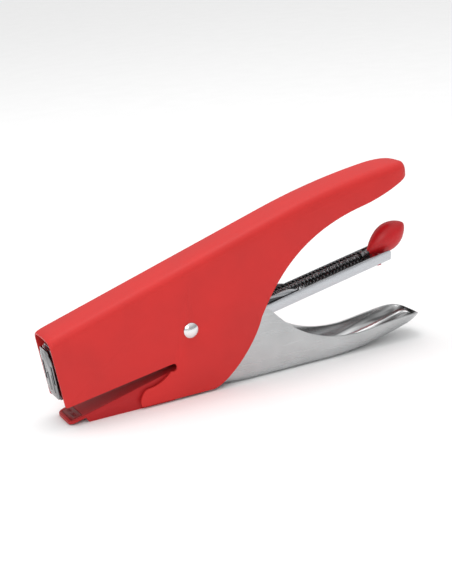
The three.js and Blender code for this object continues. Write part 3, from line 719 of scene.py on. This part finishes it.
class STAPLER_OT_anvil_arm(bpy.types.Operator):
    """Finish the anvil arm and its clinch plate, and form the leaf under the magazine"""

    bl_idname = "stapler.anvil_arm"
    bl_label = "Anvil arm"

    def execute(self, context):
        paint_coat = coated_red("arm_paint", colours().arm, 0.42, 0.05)
        finish_node("anvil_arm", paint_coat, 0.25, 3)
        finish_node("clinch_plate", worn_paint_in_painted_shade("clinch_paint", colours().arm, colours().spring), 0.1)
        leaf = frame["nodes"]["magazine_lift_spring"].copy()
        leaf.data = leaf.data.copy()
        leaf.name = "lift_leaf"
        context.scene.collection.objects.link(leaf)
        paint(leaf, spring_wire("leaf_steel", colours().spring))
        soften(leaf, 0.08)
        settle(leaf)
        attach(leaf, "body")
        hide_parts("magazine_lift_spring")
        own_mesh(leaf)
        return {"FINISHED"}


class STAPLER_OT_main_rivet(bpy.types.Operator):
    """Finish the polished main rivet"""

    bl_idname = "stapler.main_rivet"
    bl_label = "Main rivet"

    def execute(self, context):
        polished = drawn_steel("polished_rivet", colours().rivet, 0.2, (60, 60, 60), 0.04)
        finish_node("main_rivet", polished, 0.1)
        return {"FINISHED"}


class STAPLER_OT_lower_handle(bpy.types.Operator):
    """Form the plated lower handle, and finish what is fixed between its arms"""

    bl_idname = "stapler.lower_handle"
    bl_label = "Lower handle"

    def execute(self, context):
        outside = drawn_steel("nickel_outside", colours().lever, 0.3, (10, 200, 200), 0.05)
        # The spoon's inside has painted reflections: dark and light streaks in its colour.
        inside = chrome_with_painted_reflections("nickel_inside", colours().spoon, (9, 150, 70))
        outline, tip = lever_outline()
        lever = lever_body("pressed_lever", 0)
        paint(lever, outside)
        arms_rear, arms_low, arms_high = 4, 10, 60
        arms = block("arms", (tip[0] - 10, -LEVER_HALF, arms_low), (arms_rear, LEVER_HALF, arms_high))
        hollow = lever_body("spoon_hollow", LEVER_SHEET)
        inner = LEVER_HALF - LEVER_SHEET
        gap = block("arm_gap", (tip[0] - 12, -inner, 0), (arms_rear + 0.1, inner, arms_high + 2))
        for tool, material, operation in (
            (arms, outside, "UNION"),
            (hollow, inside, "DIFFERENCE"),
            (gap, inside, "DIFFERENCE"),
            (side_plate("lever_side", outline, PAST), outside, "INTERSECT"),
            (cross_bar("lever_bore", RIVET_BORE, 0, RIVET_HEIGHT), outside, "DIFFERENCE"),
            (cross_bar("pin_bore", PIN_BORE, *tip), outside, "DIFFERENCE"),
        ):
            paint(tool, material)
            combine(lever, tool, operation)
        soften(lever, sizes().lever_edge, 3, 40)
        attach(lever, "lever")
        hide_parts("lower_handle")
        inner_steel = drawn_steel("bright_sheet", colours().magazine, 0.25)
        for name in ("lever_bridge", "spring_seat", "driver_pin"):
            finish_node(name, inner_steel)
        self.return_spring()
        return {"FINISHED"}

    def return_spring(self):
        """The short coil that opens the lower handle again."""
        place, foot, top, outer, wire, turns = -24, -0.9, 6.9, 3.6, 0.5, 5.5
        start = on_rail(place, 0, foot)
        spring = coil("opening_spring", start, -DOWN, outer, wire, top - foot, turns, 40)
        paint(spring, spring_wire("return_wire", colours().spring))
        soften(spring, 0, dissolve_deg=0)
        settle(spring)
        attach(spring, "lever")
        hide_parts("return_spring")
        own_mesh(spring)


class STAPLER_OT_magazine(bpy.types.Operator):
    """Finish the magazine: channel, rail, cover, guide and rivets"""

    bl_idname = "stapler.magazine"
    bl_label = "Magazine"

    def execute(self, context):
        sheet = magazine_sheet("zinc_sheet", colours().magazine, colours().spring)
        finish_node("magazine_channel", sheet, sizes().corner)
        # The rail's colour is made lighter and streaked: painted highlights where it lies in the channel's
        # shade.
        rail = chrome_with_painted_reflections("rail_steel", shade(colours().magazine, 1.45), (12, 300, 300), RAIL_SLOPE)
        for name in ("staple_rail", "magazine_cover", "rail_rivet_front", "rail_rivet_rear"):
            finish_node(name, rail, sizes().corner)
        self.nose_plate()
        return {"FINISHED"}

    def nose_plate(self):
        """The plate across the nose, with a wing at each side and a narrow neck."""
        foot, height, lean, thickness = (-61.0, 11.8), 22.0, math.tan(math.radians(5.9)), 0.7
        wide, neck, shoulder = MAGAZINE_HALF, 5.6, 19.5
        low_corner, bend, top_corner = 3.2, 1.2, 1.5
        quarter = math.pi / 2
        half = [(0.0, 0.0)] + arc((wide - low_corner, low_corner), low_corner, -quarter, 0, 8)
        half += arc((wide - bend, shoulder - bend), bend, 0, quarter, 6)
        half += arc((neck + bend, shoulder + bend), bend, 3 * quarter, 2 * quarter, 6)
        half += arc((neck - top_corner, height - top_corner), top_corner, 0, quarter, 6)
        half += [(0.0, height)]
        face = half + [(-y, h) for y, h in half[-2:0:-1]]

        def at(y, h, back):
            """A point of the leaning plate: across it, up it and behind its face."""
            return from_rivet(foot[0] - lean * h + back, y, foot[1] + h)

        plate = skin("nose_plate", [[at(y, h, back) for y, h in face] for back in (0, thickness)])
        wing_side = [(0.3, 0.6), (7.4, 0.6), (7.4, 6.4), (5.6, 8.8), (0.3, 8.8)]
        for hand in (-1, 1):
            sides = [
                [at(hand * y, h, back) for back, h in wing_side]
                for y in (wide - thickness, wide)
            ]
            combine(plate, skin("wing", sides), "UNION")
        rib_place, rib_section = 2.6, ((-0.7, 0.1), (-0.3, -0.25), (0.3, -0.25), (0.7, 0.1))
        for hand in (-1, 1):
            rings = [
                [at(hand * rib_place + dy, h, back) for dy, back in rib_section]
                for h in (2.5, 10.5)
            ]
            combine(plate, skin("rib", rings), "UNION")
        slot_face = ((4.4, 7), (6.2, 7), (6.2, 15.5), (4.4, 15.5))
        for hand in (-1, 1):
            rings = [[at(hand * y, h, back) for y, h in slot_face] for back in (-2, 2)]
            combine(plate, skin("slot", rings), "DIFFERENCE")
        # The nose plate's colour is darkened and streaked: painted reflections of dark surroundings in the
        # chrome.
        paint(plate, chrome_with_painted_reflections("nose_steel", shade(colours().magazine, 0.34), (260, 260, 26)))
        soften(plate, 0.15, 2, 35)
        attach(plate, "magazine")
        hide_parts("front_guide")


class STAPLER_OT_driver(bpy.types.Operator):
    """Finish the driver blade, its holder and rivets"""

    bl_idname = "stapler.driver"
    bl_label = "Driver"

    def execute(self, context):
        ground = drawn_steel("ground_steel", colours().magazine, 0.3)
        for name in ("driver_blade", "driver_holder", "driver_rivet_left", "driver_rivet_right"):
            finish_node(name, ground)
        clearance = 0.05  # to the upturned edges of the magazine's cover
        gap = frame["nodes"]["driver_holder"].modifiers.new("clearance", "DISPLACE")
        gap.strength = -clearance * MM
        gap.mid_level = 0
        return {"FINISHED"}


class STAPLER_OT_feeder(bpy.types.Operator):
    """Finish the feeder's rod, collar and pusher, and form its long spring and its knob"""

    bl_idname = "stapler.feeder"
    bl_label = "Feeder"

    def execute(self, context):
        # The rod and its collar get a dark colour that paints the shade inside the magazine's channel.
        dark = spring_wire("rod_in_painted_shade", colours().spring)
        for name in ("feeder_rod", "rod_collar"):
            finish_node(name, dark)
        finish_node("staple_pusher", drawn_steel("pusher_steel", colours().magazine, 0.3))
        self.spring()
        self.knob()
        return {"FINISHED"}

    def knob(self):
        """The leaf-shaped pull with its stem, and the foot that holds it under the magazine."""
        length, fullest, flatness, tilt = 23.6, 6.5, 0.82, math.radians(17)
        skew, bluntness, tip_radius = 1.2, 0.66, 0.02
        middle = on_rail(107.5, 0, -2.4)
        along = RAIL * math.cos(tilt) - DOWN * math.sin(tilt)
        off = -DOWN * math.cos(tilt) - RAIL * math.sin(tilt)
        steps, sides = 48, 64
        rings = []
        for i in range(steps + 1):
            t = 0.5 - 0.5 * math.cos(math.pi * i / steps)
            swell = fullest * max(math.sin(math.pi * t ** skew), 0) ** bluntness
            radius = max(swell, tip_radius)
            centre = middle + along * (length * (t - 0.5) * MM)
            rings.append([
                centre + (off * (radius * math.cos(a)) + Vector((0, flatness * radius * math.sin(a), 0))) * MM
                for a in (2 * math.pi * k / sides for k in range(sides))
            ])
        knob = skin("feeder_pull", rings)
        front, stem_half = 98.2, 1.3
        stem = block("stem", (front + 0.3, -stem_half, -12.1), (front + 3.2, stem_half, -4), on_rail)
        foot_side = [(front + x, z) for x, z in ((1.3, -12.5), (3.2, -12.7), (3.2, -10.3), (1.3, -10.3))]
        foot = side_plate("foot", foot_side, 2.4, on_rail)
        for tool in (stem, foot):
            combine(knob, tool, "UNION")
        floor = block("floor_gap", (front - 6, -20, -10.2), (front + 30, 20, -8.9), on_rail)
        kept = block("kept_stem", (front - 7, -stem_half, -12), (front + 31, stem_half, -8), on_rail)
        combine(floor, kept, "DIFFERENCE")
        combine(knob, floor, "DIFFERENCE")
        paint(knob, glossy_plastic("knob_plastic", colours().knob))
        soften(knob, 0.15, 2, 40)
        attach(knob, "feeder")
        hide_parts("feeder_knob")

    def spring(self):
        """The long coil between the pusher and the collar at the knob."""
        front, rear, height, outer, wire = -44.7, 92.4, -5.3, 2.7, 0.3
        length = rear - front
        place = on_rail(front, 0, height)
        spring = coil("long_spring", place, RAIL, outer, wire, length, sizes().spring_turns, 16, 6)
        paint(spring, spring_wire("feeder_wire", colours().spring))
        soften(spring, 0, dissolve_deg=0)
        settle(spring)
        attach(spring, "feeder")
        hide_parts("feeder_spring")
        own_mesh(spring)


class STAPLER_OT_stage(bpy.types.Operator):
    """Set the floor, lights and camera"""

    bl_idname = "stapler.stage"
    bl_label = "Stage"

    def execute(self, context):
        floor = self.floor()
        self.lights()
        self.camera()
        return {"FINISHED"}

    def floor(self):
        """A pale sheet under the stapler."""
        half = 4.0
        corners = [(-half, -half, 0), (half, -half, 0), (half, half, 0), (-half, half, 0)]
        floor = mesh_object("floor", corners, [(0, 1, 2, 3)])
        paper = Shader("floor_paper")
        grain = paper.noise(paper.place(), 40, 3)
        tone = colours().floor
        paper.join(paper.ramp(grain, (0.3, shade(tone, 0.99)), (0.7, shade(tone, 1.01))),
                   paper.surface.inputs["Base Color"])
        paper.set(Roughness=0.8, Specular_IOR_Level=0.2)
        paint(floor, paper.material)
        return floor

    def lights(self):
        """A soft white dome, dimmer low down, and two softboxes."""
        world = bpy.data.worlds.new("studio")
        world.use_nodes = True
        nodes, links = world.node_tree.nodes, world.node_tree.links
        direction = nodes.new("ShaderNodeTexCoord")
        split = nodes.new("ShaderNodeSeparateXYZ")
        dome = nodes.new("ShaderNodeValToRGB")
        stops = ((0.0, 0.5), (0.1, 0.34), (0.35, 0.5), (0.6, 0.85), (1.0, 1.15))
        elements = dome.color_ramp.elements
        while len(elements) < len(stops):
            elements.new(0.5)
        for element, (place, level) in zip(elements, stops):
            element.position = place
            element.color = (level, level, level, 1)
        links.new(direction.outputs["Generated"], split.inputs["Vector"])
        links.new(split.outputs["Z"], dome.inputs["Fac"])
        links.new(dome.outputs["Color"], nodes["Background"].inputs["Color"])
        bpy.context.scene.world = world
        self.light("top_softbox", (-0.1, 0.15, 1.1), 0.7, 4.2)
        self.light("front_softbox", (-0.5, -0.9, 0.55), 0.6, 2.4)
        bpy.context.scene.view_settings.view_transform = "Standard"

    def light(self, name, place, size, power):
        """A square softbox turned to the stapler."""
        data = bpy.data.lights.new(name, "AREA")
        data.shape = "SQUARE"
        data.size = size
        data.energy = power
        lamp = new_object(name, data)
        lamp.location = place
        target = Vector((0, 0, 0.04))
        lamp.rotation_euler = (target - lamp.location).to_track_quat("-Z", "Y").to_euler()

    def camera(self):
        """The camera, low over the nose's side and a little rolled."""
        azimuth, elevation, roll = math.radians(-24.2), math.radians(17.5), math.radians(5.3)
        target = from_rivet(22.9, 0, 40.3)
        back = Vector((
            math.sin(azimuth) * math.cos(elevation),
            -math.cos(azimuth) * math.cos(elevation),
            math.sin(elevation),
        ))
        data = bpy.data.cameras.new("camera")
        data.lens = sizes().camera_lens
        data.clip_start = 0.01
        camera = new_object("camera", data)
        camera.location = target + back * sizes().camera_distance
        facing = (-back).to_track_quat("-Z", "Y").to_matrix().to_4x4()
        camera.rotation_euler = (facing @ Matrix.Rotation(-roll, 4, "Z")).to_euler()
        bpy.context.scene.camera = camera


class STAPLER_PT_panel(bpy.types.Panel):
    """The stapler's pieces in the sidebar"""

    bl_idname = "STAPLER_PT_panel"
    bl_label = "Plier Stapler"
    bl_space_type = "VIEW_3D"
    bl_region_type = "UI"
    bl_category = "Stapler"

    def draw(self, context):
        layout = self.layout
        for group in (context.scene.stapler_sizes, context.scene.stapler_colours):
            for name in group.__annotations__:
                layout.prop(group, name)
        for operator in OPERATORS:
            layout.operator(operator.bl_idname)


OPERATORS = (
    STAPLER_OT_casing,
    STAPLER_OT_anvil_arm,
    STAPLER_OT_main_rivet,
    STAPLER_OT_lower_handle,
    STAPLER_OT_magazine,
    STAPLER_OT_driver,
    STAPLER_OT_feeder,
    STAPLER_OT_stage,
)
CLASSES = (StaplerColours, StaplerSizes, *OPERATORS, STAPLER_PT_panel)


def register():
    for each in CLASSES:
        bpy.utils.register_class(each)
    bpy.types.Scene.stapler_colours = PointerProperty(type=StaplerColours)
    bpy.types.Scene.stapler_sizes = PointerProperty(type=StaplerSizes)


def unregister():
    del bpy.types.Scene.stapler_sizes
    del bpy.types.Scene.stapler_colours
    for each in reversed(CLASSES):
        bpy.utils.unregister_class(each)


def main():
    register()
    for operator in OPERATORS:
        group, name = operator.bl_idname.split(".")
        getattr(getattr(bpy.ops, group), name)()


if __name__ == "__main__":
    main()
